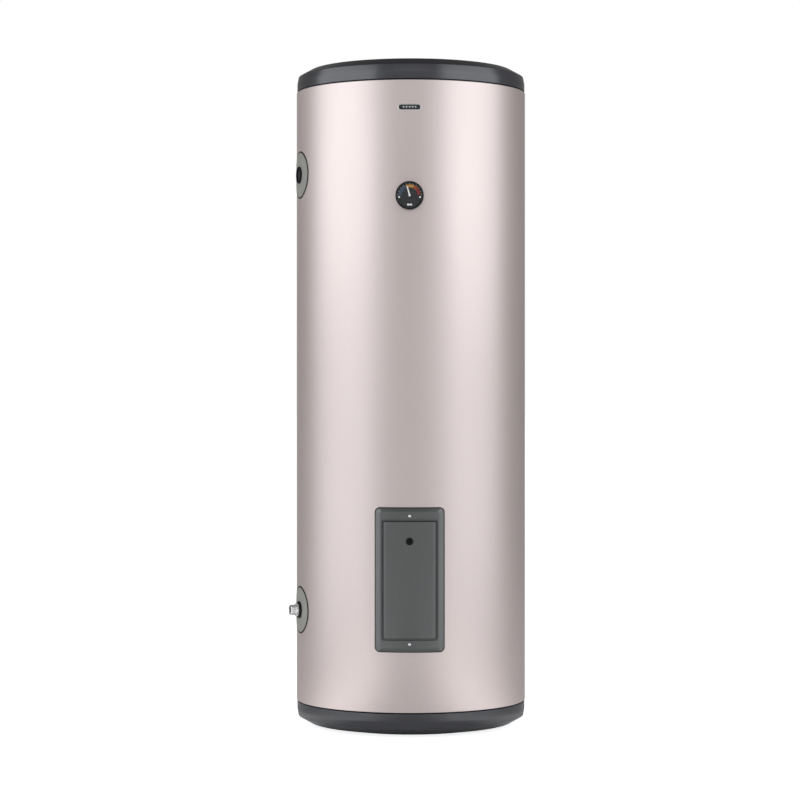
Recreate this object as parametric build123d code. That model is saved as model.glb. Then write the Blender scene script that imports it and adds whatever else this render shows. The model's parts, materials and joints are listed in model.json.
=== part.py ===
"""Floor-standing tank water heater of about 290 litres, in millimetres.

+Z is up, the front faces -Y, and the origin is on the floor at the tank's axis.
Each named piece is written to parts/NAME.step. Pieces set in the side of the tank are
built in a radial frame: its z is the distance from the tank's axis, its y is up, and its
x runs round the jacket. Azimuths are measured from the front towards the left side.
"""

import math
import os

from build123d import *

# ---- driving dimensions -------------------------------------------------------------
JACKET_R = 300.0
JACKET_T = 0.8
FLOOR_GAP = 8.0  # the foot ring lifts the base cover this far
COVER_H = 58.0  # height of each end cover
COVER_R = 298.5
JACKET_H = 1588.0

TANK_R = 254.0
TANK_T = 2.5
TANK_LOW = 172.0  # lower weld, where the bottom head starts
TANK_HIGH = 1514.0
CROWN_R = 770.0
KNUCKLE_R = 50.0

GAP = 0.3  # clearance between large fitted pieces

JACKET_LOW = FLOOR_GAP + COVER_H
JACKET_HIGH = JACKET_LOW + JACKET_H
COVER_TOP = JACKET_HIGH + COVER_H
JACKET_IN = JACKET_R - JACKET_T
FOAM_R = JACKET_IN - GAP

# ports: azimuth in degrees, height above the floor
HOT_OUTLET = (72.5, 1434.0)
COLD_INLET = (72.5, 306.0)
RELIEF_PORT = (145.0, 1474.0)
DRAIN_PORT = (160.0, 196.0)
PORTS = (HOT_OUTLET, COLD_INLET, RELIEF_PORT, DRAIN_PORT)
GAUGE = (0.0, 1363.0)
BADGE_Z = 1585.0

# three-quarter inch pipe thread
THREAD_MAJOR_R = 13.2
THREAD_MINOR_R = 12.06
THREAD_DEPTH = 18.0
PIPE_BORE_R = 9.0

SOCKET_R = 17.0
SOCKET_IN = 246.0  # radial distance of each socket's inner end
SOCKET_OUT = 302.0
ESCUTCHEON_R = 60.0
ESCUTCHEON_T = 3.5
GROMMET_R = 22.0
GROMMET_OUT = 306.5

# access cover and the compartment behind it
ACCESS_Z = 399.5
ACCESS_W = 176.0
ACCESS_H = 364.0
LEDGE_R = 309.0
PLATEAU_R = 315.0
PLATEAU_W = 132.0
PLATEAU_H = 294.0
COVER_WALL = 2.5
SCREW_RISE = 160.6  # cover screws above and below the cover's centre
BOX_W = 150.0
BOX_H = 300.0
BOX_BACK = 262.0
BOX_T = 1.0
CABLE_Z = 497.0
CABLE_R = 5.5

# heating flange
FLANGE_Z = 326.0
FLANGE_R = 68.0
FLANGE_HOLE_R = 49.0
NECK_FACE = 268.0
FLANGE_BACK = 269.5
FLANGE_FACE = 275.5
BOLT_CIRCLE_R = 58.0
BOLT_COUNT = 6

ANODE_SOCKET_R = 21.0
ANODE_THREAD_R = 16.0
ANODE_SEAT = 1609.0  # top face of the anode's socket

LEG_CIRCLE_R = 185.0
LEG_R = 24.0
BOSS_R = 32.0
LEG_COUNT = 3

UP = (Align.CENTER, Align.CENTER, Align.MIN)


# ---- helpers --------------------------------------------------------------------------
def radial(azimuth, height):
    """The radial frame of a port."""
    a = math.radians(azimuth)
    return Plane(
        origin=(0, 0, height),
        x_dir=(math.cos(a), -math.sin(a), 0),
        z_dir=(-math.sin(a), -math.cos(a), 0),
    )


def rod(frame, r, start, end, x=0.0, y=0.0):
    return frame * Pos(x, y, start) * Cylinder(r, end - start, align=UP)


def tube(frame, outer, inner, start, end, x=0.0, y=0.0):
    return rod(frame, outer, start, end, x, y) - rod(frame, inner, start, end, x, y)


def hexagon(frame, across_flats, start, end, x=0.0, y=0.0):
    outline = RegularPolygon(across_flats / 2, 6, major_radius=False)
    return frame * Pos(x, y, start) * extrude(outline, end - start)


def block(frame, w, h, start, end, x=0.0, y=0.0):
    return frame * Pos(x, y, start) * Box(w, h, end - start, align=UP)


def upright(r, low, high):
    """A solid cylinder on the tank's axis."""
    return Pos(0, 0, low) * Cylinder(r, high - low, align=UP)


def shell(outer, inner, low, high):
    return upright(outer, low, high) - upright(inner, low, high)


def turned(*points):
    """A solid of revolution about the tank's axis through (radius, height) points."""
    outline = Polyline(*[(r, 0, z) for r, z in points], close=True)
    return revolve(make_face(outline), Axis.Z)


def turned_on(frame, *points):
    """A solid of revolution about a radial frame's z, through (radius, distance) points."""
    outline = Polyline(*[(r, 0, z) for r, z in points], close=True)
    return frame * revolve(make_face(outline), Axis.Z)


def rounded_prism(frame, w, h, corner, start, end, x=0.0, y=0.0):
    return frame * Pos(x, y, start) * extrude(RectangleRounded(w, h, corner), end - start)


def wire(frame, points, r, bend):
    """A round wire along straight runs joined by arcs, in a radial frame."""
    path = FilletPolyline(*points, radius=bend)
    profile = Plane(origin=path @ 0, z_dir=path % 0) * Circle(r)
    return frame * sweep(profile, path=path)


def ring_of(frame, count, radius, start_angle=0.0):
    """(x, y) places on a circle in a radial frame."""
    angles = [math.radians(start_angle + 360.0 * i / count) for i in range(count)]
    return [(radius * math.cos(a), radius * math.sin(a)) for a in angles]


# ---- tank -----------------------------------------------------------------------------
def head_depth():
    reach = TANK_R - KNUCKLE_R
    return CROWN_R - math.sqrt((CROWN_R - KNUCKLE_R) ** 2 - reach**2)


def head_outline(inset):
    """Tank end wall, upward, from the axis to the weld: crown arc, then knuckle arc."""
    crown, knuckle, reach = CROWN_R - inset, KNUCKLE_R - inset, TANK_R - KNUCKLE_R
    centre_z = head_depth() - CROWN_R
    tilt = math.asin(reach / (CROWN_R - KNUCKLE_R))
    meet = (crown * math.sin(tilt), 0, centre_z + crown * math.cos(tilt))
    apex = (0, 0, centre_z + crown)
    half = (tilt + math.pi / 2) / 2
    knuckle_mid = (reach + knuckle * math.sin(half), 0, knuckle * math.cos(half))
    crown_mid = (crown * math.sin(tilt / 2), 0, centre_z + crown * math.cos(tilt / 2))
    weld = (reach + knuckle, 0, 0)
    return [ThreePointArc(apex, crown_mid, meet), ThreePointArc(meet, knuckle_mid, weld)]


def dome(inset):
    """Solid dome as high as the head, its flat base at z = 0."""
    arcs = head_outline(inset)
    rim, apex = arcs[1] @ 1, arcs[0] @ 0
    face = make_face([*arcs, Line(rim, (0, 0, 0)), Line((0, 0, 0), apex)])
    return revolve(face, Axis.Z)


def tank_solid(inset):
    """The tank's whole outline, shrunk by inset. A negative inset grows it."""
    straight = upright(TANK_R - inset, TANK_LOW, TANK_HIGH)
    top = Pos(0, 0, TANK_HIGH) * dome(inset)
    bottom = Pos(0, 0, TANK_LOW) * Rot(180, 0, 0) * dome(inset)
    return straight + top + bottom


def socket_holes(extra=0.0):
    return [rod(radial(*p), SOCKET_R + extra, 200, JACKET_R + 20) for p in PORTS]


def tank_parts():
    body = shell(TANK_R, TANK_R - TANK_T, TANK_LOW, TANK_HIGH)
    front = radial(0, FLANGE_Z)
    body -= rod(front, FLANGE_R, 200, 300)
    body -= rod(radial(*GAUGE), GAUGE_SOCKET_R, 200, 300)
    for hole in socket_holes():
        body -= hole
    cap = dome(0) - dome(TANK_T)
    top = Pos(0, 0, TANK_HIGH) * cap - upright(ANODE_SOCKET_R, TANK_HIGH, TANK_HIGH + 200)
    bottom = Pos(0, 0, TANK_LOW) * Rot(180, 0, 0) * cap
    return {"tank_shell": body, "tank_top_head": top, "tank_bottom_head": bottom}


def socket(port, inner_bore=PIPE_BORE_R + 1.05):
    frame = radial(*port)
    part = rod(frame, SOCKET_R, SOCKET_IN, SOCKET_OUT)
    part -= rod(frame, THREAD_MINOR_R, SOCKET_OUT - THREAD_DEPTH, SOCKET_OUT)
    return part - rod(frame, inner_bore, SOCKET_IN, SOCKET_OUT)


# ---- legs and base ----------------------------------------------------------------------
LEG_PLACES = [
    (LEG_CIRCLE_R * math.sin(math.radians(a)), -LEG_CIRCLE_R * math.cos(math.radians(a)))
    for a in (60, 180, 300)
]
BOSS_TOP = 30.0
RING_T = 4.0
LEG_FOOT = 6.0
PAN_T = 1.2


def leg_parts():
    tank = tank_solid(0)
    legs = []
    ring = shell(LEG_CIRCLE_R + BOSS_R, LEG_CIRCLE_R - BOSS_R, 0, RING_T)
    for x, y in LEG_PLACES:
        leg = Pos(x, y, LEG_FOOT) * Cylinder(LEG_R, 180, align=UP)
        leg -= Pos(x, y, LEG_FOOT) * Cylinder(LEG_R - TANK_T, 180, align=UP)
        legs += (leg - tank).solids().sort_by(Axis.Z)[:1]
        boss = Pos(x, y, 0) * Cylinder(BOSS_R, BOSS_TOP, align=UP)
        ring += fillet(boss.edges().group_by(Axis.Z)[-1], 3)
        ring -= Pos(x, y, LEG_FOOT) * Cylinder(LEG_R + GAP, 180, align=UP)
    return {"tank_legs": Compound(legs), "foot_ring": ring}


def base_pan():
    pan = upright(COVER_R - 3.5, JACKET_LOW, JACKET_LOW + PAN_T)
    for x, y in LEG_PLACES:
        pan -= Pos(x, y, 0) * Cylinder(LEG_R + GAP, 100, align=UP)
    return pan


# ---- end covers ---------------------------------------------------------------------------
BREAK = (292.5, 40.0)  # crisp line between the rounded shoulder and the bevel
RIM_R = 268.0
SHOULDER = 20.0
COVER_T = 2.5
LIP_H = 12.0
PANEL_R = 250.0


def cover_outline(inset, height, panel_drop):
    """Outside of an end cover from its seam at z = 0 to its flat end, shrunk by inset."""
    seam = (COVER_R - inset, 0)
    shoulder = (COVER_R - inset, SHOULDER)
    middle = (COVER_R - inset - 1.9, (SHOULDER + BREAK[1]) / 2)
    brk = (BREAK[0] - inset, BREAK[1] - inset / 3)
    rim = (RIM_R - inset / 3, height - inset)
    flat = (PANEL_R + 6 - inset, height - inset)
    panel = (PANEL_R - inset, height - inset - panel_drop)
    edges = [
        Line((0, 0), seam),
        Line(seam, shoulder),
        ThreePointArc(shoulder, middle, brk),
        Polyline(brk, rim, flat, panel, (0, panel[1]), (0, 0)),
    ]
    return revolve(Plane.XZ * make_face(edges), Axis.Z)


def end_cover(height, panel_drop):
    cover = cover_outline(0, height, panel_drop)
    crisp = cover.edges().filter_by(GeomType.CIRCLE)
    crisp = crisp.filter_by(lambda e: min(abs(e.radius - r) for r in (BREAK[0], RIM_R)) < 0.1)
    cover = fillet(crisp, 2.0)
    cover -= cover_outline(COVER_T, height, panel_drop)
    return cover + shell(COVER_R - 0.5, COVER_R - 3.0, -LIP_H, 1.0)


ANODE_HOLE_R = 42.0
PANEL_DROP = 5.0


def cover_parts():
    height = COVER_TOP - JACKET_HIGH
    top = Pos(0, 0, JACKET_HIGH) * end_cover(height, PANEL_DROP)
    top -= upright(ANODE_HOLE_R, JACKET_HIGH, COVER_TOP + 1)
    base = Pos(0, 0, JACKET_LOW) * Rot(180, 0, 0) * end_cover(COVER_H, 0.0)
    for x, y in LEG_PLACES:
        base -= Pos(x, y, 0) * Cylinder(BOSS_R + 1, 40, align=UP)

    panel = COVER_TOP - PANEL_DROP
    cap = upright(ANODE_HOLE_R + 6, panel + 0.1, panel + 3.5)
    cap = fillet(cap.edges().group_by(Axis.Z)[-1], 1.5)
    cap += shell(ANODE_HOLE_R - 0.4, ANODE_HOLE_R - 2.4, panel - 10, panel + 0.5)
    slot = Pos(0, 0, panel + 2.5) * Box(34, 5, 4, align=UP)
    return {"top_cover": top, "base_cover": base, "anode_access_cap": cap - slot}


# ---- jacket and insulation ------------------------------------------------------------------
GAUGE_CASE_R = 35.5
GAUGE_NECK_R = 30.5
GAUGE_SOCKET_R = 11.0
ESCUTCHEON_HOLE_R = 50.0
SEAM_W = 14.0
RIVET_COUNT = 11


def jacket_parts():
    body = shell(JACKET_R, JACKET_IN, JACKET_LOW, JACKET_HIGH)
    seam = shell(JACKET_R + 0.9, JACKET_R - 0.2, JACKET_LOW + 2, JACKET_HIGH - 2)
    body += seam & Pos(0, JACKET_R, 0) * Box(SEAM_W, 60, 4000)
    for port in PORTS:
        body -= rod(radial(*port), ESCUTCHEON_HOLE_R, 250, 350)
    body -= rod(radial(*GAUGE), GAUGE_NECK_R + GAP, 250, 350)
    front = radial(0, ACCESS_Z)
    body -= rounded_prism(front, BOX_W, BOX_H, 6, 250, 350)
    for side in (-1, 1):
        body -= rod(front, 2.2, 250, 350, y=side * SCREW_RISE)

    pitch = (JACKET_H - 80) / (RIVET_COUNT - 1)
    rivets = []
    for i in range(RIVET_COUNT):
        head = turned_on(
            radial(180, JACKET_LOW + 40 + i * pitch),
            (0, JACKET_R + 1.0),
            (3.2, JACKET_R + 1.0),
            (2.6, JACKET_R + 1.9),
            (1.2, JACKET_R + 2.3),
            (0, JACKET_R + 2.3),
        )
        rivets.append(head)
    return {"outer_jacket": body, "seam_rivets": Compound(rivets)}


def insulation():
    lip = COVER_R - 3.0 - GAP
    low, high = JACKET_LOW + PAN_T + GAP, JACKET_HIGH + SHOULDER
    foam = upright(lip, low, high)
    foam += upright(FOAM_R, JACKET_LOW + LIP_H + 2, JACKET_HIGH - LIP_H - 2)
    foam -= tank_solid(-GAP)
    for hole in socket_holes(GAP):
        foam -= hole
    for port in PORTS:
        foam -= rod(radial(*port), GROMMET_R + 3, 290, 320)
    foam -= rod(radial(*GAUGE), GAUGE_SOCKET_R + 3, 250, 320)
    foam -= rod(radial(*GAUGE), GAUGE_NECK_R + 1, 276, 320)
    front = radial(0, ACCESS_Z)
    foam -= block(front, BOX_W + 1, BOX_H + 1, BOX_BACK - BOX_T - GAP, 320)
    foam -= rod(radial(0, FLANGE_Z), FLANGE_R + GAP, 200, 300)
    for side in (-1, 1):
        foam -= rod(front, 3, 280, 320, y=side * SCREW_RISE)
    foam -= upright(ANODE_HOLE_R + 1, TANK_HIGH + 60, 1800)
    for x, y in LEG_PLACES:
        foam -= Pos(x, y, 0) * Cylinder(LEG_R + GAP, 130, align=UP)
    return foam


# ---- water ports ------------------------------------------------------------------------------
def escutcheon(port):
    frame = radial(*port)
    z = port[1]
    disc = shell(JACKET_R + ESCUTCHEON_T, JACKET_R + 0.1, z - 80, z + 80)
    disc &= rod(frame, ESCUTCHEON_R, 200, 340)
    rim = disc.edges().filter_by(lambda e: e.length > 300).sort_by(SortBy.LENGTH)
    disc = chamfer(rim[-1:], 1.2)
    return disc - rod(frame, GROMMET_R - 1.5, 200, 340)


def grommet(port):
    frame = radial(*port)
    inner, neck = SOCKET_R + 0.1, GROMMET_R - 1.8
    front, back = JACKET_R + ESCUTCHEON_T + 0.2, JACKET_R - 1.4
    return turned_on(
        frame,
        (inner, GROMMET_OUT - 0.8),
        (inner + 0.8, GROMMET_OUT),
        (GROMMET_R - 1.2, GROMMET_OUT),
        (GROMMET_R, GROMMET_OUT - 1.2),
        (GROMMET_R, front),
        (neck, front),
        (neck, back),
        (GROMMET_R + 0.5, back),
        (GROMMET_R + 0.5, back - 3),
        (inner, back - 3),
    )


def port_parts():
    boss = shell(ANODE_SOCKET_R, ANODE_THREAD_R + 0.1, ANODE_SEAT - 26, ANODE_SEAT)
    gauge_boss = tube(radial(*GAUGE), GAUGE_SOCKET_R, 7.1, SOCKET_IN + 2, 272)
    return {
        "tank_sockets": Compound([*[socket(p) for p in PORTS], gauge_boss.solid(), boss.solid()]),
        "port_escutcheons": Compound([escutcheon(p) for p in PORTS]),
        "port_grommets": Compound([grommet(p) for p in PORTS]),
    }


NIPPLE_TIP = 328.0
NIPPLE_THREAD = 15.5


def inlet_nipple():
    frame = radial(*COLD_INLET)
    part = rod(frame, THREAD_MINOR_R - 0.06, SOCKET_OUT - THREAD_DEPTH + 2, SOCKET_OUT + 0.2)
    part += rod(frame, 15.5, SOCKET_OUT + 0.2, GROMMET_OUT - 0.5)
    part += hexagon(frame, 32, GROMMET_OUT + 0.2, NIPPLE_TIP - NIPPLE_THREAD)
    part += rod(frame, 14.0, GROMMET_OUT - 0.6, GROMMET_OUT + 0.3)
    part += rod(frame, THREAD_MAJOR_R, NIPPLE_TIP - NIPPLE_THREAD - 0.1, NIPPLE_TIP)
    return part - rod(frame, PIPE_BORE_R, 250, 340)


PIPE_R = 10.0
PIPE_WALL = 1.5


def bent_pipe(frame, points, bend):
    outer = wire(frame, points, PIPE_R, bend)
    return outer - wire(frame, points, PIPE_R - PIPE_WALL, bend)


def internal_pipes():
    riser_top = 1556.0 - HOT_OUTLET[1]
    riser = [(0, 0, SOCKET_IN + 6), (0, 0, 140), (0, riser_top, 140)]
    drop = 138.0 - COLD_INLET[1]
    downpipe = [(0, 0, SOCKET_IN + 6), (0, 0, 185), (0, drop, 185)]
    inlet = bent_pipe(radial(*COLD_INLET), downpipe, 24)
    frame = radial(*COLD_INLET)
    for i in range(5):
        inlet -= block(frame, 40, 3, 150, 185, y=drop + 12 + i * 9)
    return {
        "outlet_riser_pipe": bent_pipe(radial(*HOT_OUTLET), riser, 24),
        "inlet_diffuser_pipe": inlet,
    }


# ---- relief valve ---------------------------------------------------------------------------------
RELIEF_CAP_FACE = 384.0
RELIEF_PIN = 388.4
RELIEF_SEAT = 320.0
RELIEF_OUTLET_AT = 336.0
RELIEF_OUTLET_DROP = 40.0
CAM_R = 4.0
CAM_OFFSET = 2.865  # the cam's centre lies this far above the pin


def relief_body(frame):
    body = rod(frame, THREAD_MINOR_R - 0.06, 286, SOCKET_OUT + 1)
    body += rod(frame, 15.5, SOCKET_OUT + 0.3, GROMMET_OUT + 1)
    body += hexagon(frame, 36, GROMMET_OUT + 0.3, 316)
    body += rod(frame, 20, 315, 354)
    outlet = frame * Pos(0, 0, RELIEF_OUTLET_AT) * Rot(90, 0, 0)
    body += outlet * Cylinder(17, RELIEF_OUTLET_DROP, align=UP)
    body += outlet * Pos(0, 0, RELIEF_OUTLET_DROP - 8) * Cylinder(18.5, 8, align=UP)
    body -= outlet * Pos(0, 0, RELIEF_OUTLET_DROP - 16) * Cylinder(
        THREAD_MINOR_R, 20, align=UP
    )
    body -= outlet * Cylinder(9, RELIEF_OUTLET_DROP, align=UP)
    body -= rod(frame, 14, RELIEF_SEAT, 360)
    body -= rod(frame, 8, 280, 360)
    return body


def relief_bonnet(frame):
    bonnet = rod(frame, 17.5, 354, RELIEF_CAP_FACE - 3)
    bonnet += turned_on(
        frame,
        (0, RELIEF_CAP_FACE - 3.5),
        (17.5, RELIEF_CAP_FACE - 3.5),
        (14.5, RELIEF_CAP_FACE),
        (0, RELIEF_CAP_FACE),
    )
    bonnet += rod(frame, 13.7, 348, 356)
    bonnet -= rod(frame, 12, 340, RELIEF_CAP_FACE - 4)
    for i in range(3):
        angle = 120.0 * i
        window = Rot(0, 0, angle) * Pos(15, 0, 360) * Box(14, 9, 14, align=UP)
        bonnet -= frame * window
    return bonnet - rod(frame, 3.4, 340, 400)


def relief_lever(frame):
    """Two cheeks beside the stem, joined by a finger plate that hangs down at rest."""
    cheeks = None
    for side in (-1, 1):
        cam = frame * Pos(side * 5.0, CAM_OFFSET, RELIEF_PIN) * Rot(0, 90, 0)
        cam *= Cylinder(CAM_R, 1.6)
        arm = block(frame, 1.6, 24, RELIEF_PIN - 3, RELIEF_PIN + 3, x=side * 5.0, y=-12)
        cheeks = cam + arm if cheeks is None else cheeks + cam + arm
    plate = block(frame, 14, 40, RELIEF_PIN + 0.5, RELIEF_PIN + 2.3, y=-36)
    plate = fillet(plate.edges().filter_by(lambda e: abs(e.length - 1.8) < 0.01), 4)
    lever = cheeks + plate
    eye = frame * Pos(0, 0, RELIEF_PIN) * Rot(0, 90, 0) * Cylinder(1.55, 40)
    return lever - eye


def relief_parts():
    frame = radial(*RELIEF_PORT)
    stem = rod(frame, 3.0, RELIEF_SEAT + 4, RELIEF_PIN + 3.4)
    stem += rod(frame, 11.0, RELIEF_SEAT + 0.2, RELIEF_SEAT + 4.2)
    stem -= frame * Pos(0, 0, RELIEF_PIN) * Rot(0, 90, 0) * Cylinder(1.6, 20)
    pin = frame * Pos(0, 0, RELIEF_PIN) * Rot(0, 90, 0) * Cylinder(1.5, 13.4)
    pin += frame * Pos(-7.2, 0, RELIEF_PIN) * Rot(0, 90, 0) * Cylinder(2.6, 1.2)
    pin += frame * Pos(7.2, 0, RELIEF_PIN) * Rot(0, 90, 0) * Cylinder(2.6, 1.2)
    start, end = RELIEF_SEAT + 6.0, RELIEF_CAP_FACE - 6.0
    helix = Helix(pitch=(end - start) / 6, height=end - start, radius=7.8)
    coil = sweep(Plane(origin=helix @ 0, z_dir=helix % 0) * Circle(1.3), path=helix)
    return {
        "relief_valve_body": relief_body(frame),
        "relief_valve_bonnet": relief_bonnet(frame),
        "relief_valve_stem": stem,
        "relief_lever_pin": pin,
        "relief_valve_lever": relief_lever(frame),
        "relief_valve_spring": frame * Pos(0, 0, start) * coil,
        "relief_valve_probe": rod(frame, 4.0, 150, 312) + rod(frame, 7.7, 308, 312),
    }


# ---- drain valve ------------------------------------------------------------------------------------
BALL_AT = 330.0
BALL_R = 11.0
DRAIN_TIP = 366.0


def drain_parts():
    frame = radial(*DRAIN_PORT)
    body = rod(frame, THREAD_MINOR_R - 0.06, 286, SOCKET_OUT + 1)
    body += rod(frame, 15.5, SOCKET_OUT + 0.3, GROMMET_OUT + 1)
    body += hexagon(frame, 32, GROMMET_OUT + 0.3, 315)
    body += rod(frame, 17, 314, 346)
    body += rod(frame, THREAD_MAJOR_R, 345, DRAIN_TIP)
    up_axis = frame * Pos(0, 0, BALL_AT) * Rot(-90, 0, 0)
    body += up_axis * Cylinder(8, 24, align=UP)
    body -= frame * Pos(0, 0, BALL_AT) * Sphere(BALL_R + 0.5)
    body -= rod(frame, 8, 280, 370)
    body -= up_axis * Cylinder(4.3, 40, align=UP)

    ball = frame * Pos(0, 0, BALL_AT) * Sphere(BALL_R)
    ball -= frame * Pos(0, 0, BALL_AT) * Rot(0, 90, 0) * Cylinder(7, 40)
    stem = up_axis * Pos(0, 0, 8.5) * Cylinder(4.0, 18.5, align=UP)
    stem += up_axis * Pos(0, 0, 27) * Box(5, 5, 5.4, align=UP)
    ball += stem

    grip = up_axis * Pos(0, 0, 28) * extrude(SlotOverall(52, 14), 4)
    grip += up_axis * Pos(0, 0, 24.6) * Cylinder(8.5, 7.4, align=UP)
    grip -= up_axis * Pos(0, 0, 20) * Box(5.2, 5.2, 20, align=UP)
    grip -= up_axis * Pos(0, 0, 20) * Cylinder(4.2, 7.2, align=UP)
    screw = up_axis * Pos(0, 0, 32.5) * Cylinder(4.5, 2.6, align=UP)
    screw -= up_axis * Pos(0, 0, 34.1) * Box(7, 1.2, 3, align=UP)
    return {
        "drain_valve_body": body,
        "drain_valve_ball": ball,
        "drain_valve_handle": grip,
        "drain_handle_screw": screw,
    }


# ---- thermometer -------------------------------------------------------------------------------------
DIAL_AT = 303.0
POINTER_AT = 305.0
LENS_AT = 307.4
POINTER_REST = 18.0  # degrees to the left of straight up
POINTER_L = 24.0


def gauge_parts():
    frame = radial(*GAUGE)
    z = GAUGE[1]
    case = rod(frame, GAUGE_CASE_R, 296, 302.6)
    case -= upright(JACKET_R + 0.15, z - 60, z + 60)
    case += tube(frame, GAUGE_CASE_R, GAUGE_CASE_R - 3.2, 302.5, 305)
    case += rod(frame, GAUGE_NECK_R, 284, 301.5)
    case -= rod(frame, GAUGE_NECK_R - 2, 286, 300)
    case -= rod(frame, 4.2, 280, 310)

    bezel = turned_on(
        frame,
        (GAUGE_CASE_R - 4.4, LENS_AT + 1.7),
        (GAUGE_CASE_R - 3.6, LENS_AT + 2.6),
        (GAUGE_CASE_R - 1.4, LENS_AT + 2.6),
        (GAUGE_CASE_R, LENS_AT + 1.0),
        (GAUGE_CASE_R, 305.1),
        (GAUGE_CASE_R - 3.0, 305.1),
        (GAUGE_CASE_R - 3.0, LENS_AT + 1.7),
    )
    dial = tube(frame, GAUGE_CASE_R - 3.5, 2.2, DIAL_AT, DIAL_AT + 0.6)
    lens = rod(frame, GAUGE_CASE_R - 3.2, LENS_AT, LENS_AT + 1.5)

    tilt = frame * Rot(0, 0, POINTER_REST)
    blade = Polyline((-1.5, -8), (1.5, -8), (1.1, 0), (0.5, POINTER_L), (-0.5, POINTER_L),
                     (-1.1, 0), close=True)
    pointer = tilt * Pos(0, 0, POINTER_AT) * extrude(make_face(blade), 0.6)
    pointer += rod(frame, 3.0, POINTER_AT - 0.2, POINTER_AT + 1.2)
    pointer -= rod(frame, 1.0, POINTER_AT - 2, POINTER_AT + 0.9)
    spindle = rod(frame, 1.0, 190, POINTER_AT + 0.9)
    helix = Helix(pitch=1.6, height=28, radius=1.9)
    strip = sweep(Plane(origin=helix @ 0, z_dir=helix % 0) * Circle(0.35), path=helix)
    strip = frame * Pos(0, 0, 192) * strip

    stem = tube(frame, 4.0, 3.2, 186, 302.5) + rod(frame, 4.0, 184, 186.5)
    well = rod(frame, 7.0, 176, 272.2) + hexagon(frame, 19, 272.2, 279)
    well -= rod(frame, 4.3, 180, 300)
    return {
        "thermometer_case": case,
        "thermometer_bezel": bezel,
        "thermometer_dial": dial,
        "thermometer_lens": lens,
        "thermometer_pointer": pointer,
        "thermometer_spindle": Compound([spindle.solid(), strip.solid()]),
        "thermometer_stem": stem,
        "thermometer_pocket": well,
    }


# ---- access cover ----------------------------------------------------------------------------------------
def curved_plate(w, h, corner, outer, inner, z=ACCESS_Z):
    """A rounded rectangle wrapped on the tank's front, between two radii."""
    plate = shell(outer, inner, z - h / 2 - 10, z + h / 2 + 10)
    return plate & rounded_prism(radial(0, z), w, h, corner, 200, 340)


def outer_rim(plate, radius):
    """The closed loop of edges on the plate's outer curved face."""
    face = max(
        plate.faces().filter_by(GeomType.CYLINDER),
        key=lambda f: f.area if abs(f.radius - radius) < 0.01 else 0,
    )
    return face.outer_wire().edges()


def access_parts():
    front = radial(0, ACCESS_Z)
    ledge = curved_plate(ACCESS_W, ACCESS_H, 13, LEDGE_R, JACKET_R + 1.6)
    ledge = chamfer(outer_rim(ledge, LEDGE_R), 6.0)
    plateau = curved_plate(PLATEAU_W, PLATEAU_H, 8, PLATEAU_R, LEDGE_R - 1)
    plateau = chamfer(outer_rim(plateau, PLATEAU_R), 3.0)
    cover = ledge + plateau
    cover -= curved_plate(ACCESS_W - 18, ACCESS_H - 18, 8, LEDGE_R - COVER_WALL, JACKET_R)
    cover -= curved_plate(
        PLATEAU_W - 8, PLATEAU_H - 8, 5, PLATEAU_R - COVER_WALL, LEDGE_R - COVER_WALL - 1
    )
    for side in (-1, 1):
        y = side * SCREW_RISE
        cover += tube(front, 5.5, 2.3, JACKET_R + 2, LEDGE_R - 1, y=y)
        cover -= rod(front, 2.3, 290, 330, y=y)
        cover -= rod(front, 4.6, LEDGE_R - 1.6, 330, y=y)
    cable_y = CABLE_Z - ACCESS_Z
    cover -= rod(front, 8.0, 290, 330, y=cable_y)

    gasket = curved_plate(ACCESS_W - 1, ACCESS_H - 1, 12.5, JACKET_R + 1.5, JACKET_R + 0.1)
    gasket -= rounded_prism(front, BOX_W, ACCESS_H - 64, 6, 200, 340)
    for side in (-1, 1):
        gasket -= rod(front, 2.3, 200, 340, y=side * SCREW_RISE)

    screws = []
    for side in (-1, 1):
        y = side * SCREW_RISE
        screw = rod(front, 2.0, 291, LEDGE_R - 1.4, y=y)
        head = rod(front, 4.0, LEDGE_R - 1.5, LEDGE_R + 0.8, y=y)
        screw += fillet(head.edges().group_by(Axis.Y)[0], 1.2)
        for turn in (0, 90):
            cross = front * Pos(0, y, LEDGE_R - 0.6) * Rot(0, 0, turn)
            screw -= cross * Box(4.6, 1.0, 3, align=UP)
        screws.append(screw)

    grommet_ring = turned_on(
        front * Pos(0, cable_y, 0),
        (CABLE_R, PLATEAU_R - 4.6),
        (CABLE_R, PLATEAU_R + 2.2),
        (CABLE_R + 2.6, PLATEAU_R + 2.2),
        (9.5, PLATEAU_R + 1.0),
        (9.5, PLATEAU_R + 0.05),
        (7.9, PLATEAU_R + 0.05),
        (7.9, PLATEAU_R - COVER_WALL - 0.3),
        (9.5, PLATEAU_R - COVER_WALL - 0.3),
        (9.5, PLATEAU_R - 4.6),
    )
    return {
        "access_cover": cover,
        "access_cover_gasket": gasket,
        "access_cover_screws": Compound(screws),
        "cable_grommet": grommet_ring,
    }


# ---- heating flange and controls ----------------------------------------------------------------------------
ELEMENT_R = 4.0
ELEMENT_X = 38.0
ELEMENT_Y = 13.0
ELEMENT_REACH = -105.0  # the U-bend lies beyond the tank's axis
POCKET_R = 7.0


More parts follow.
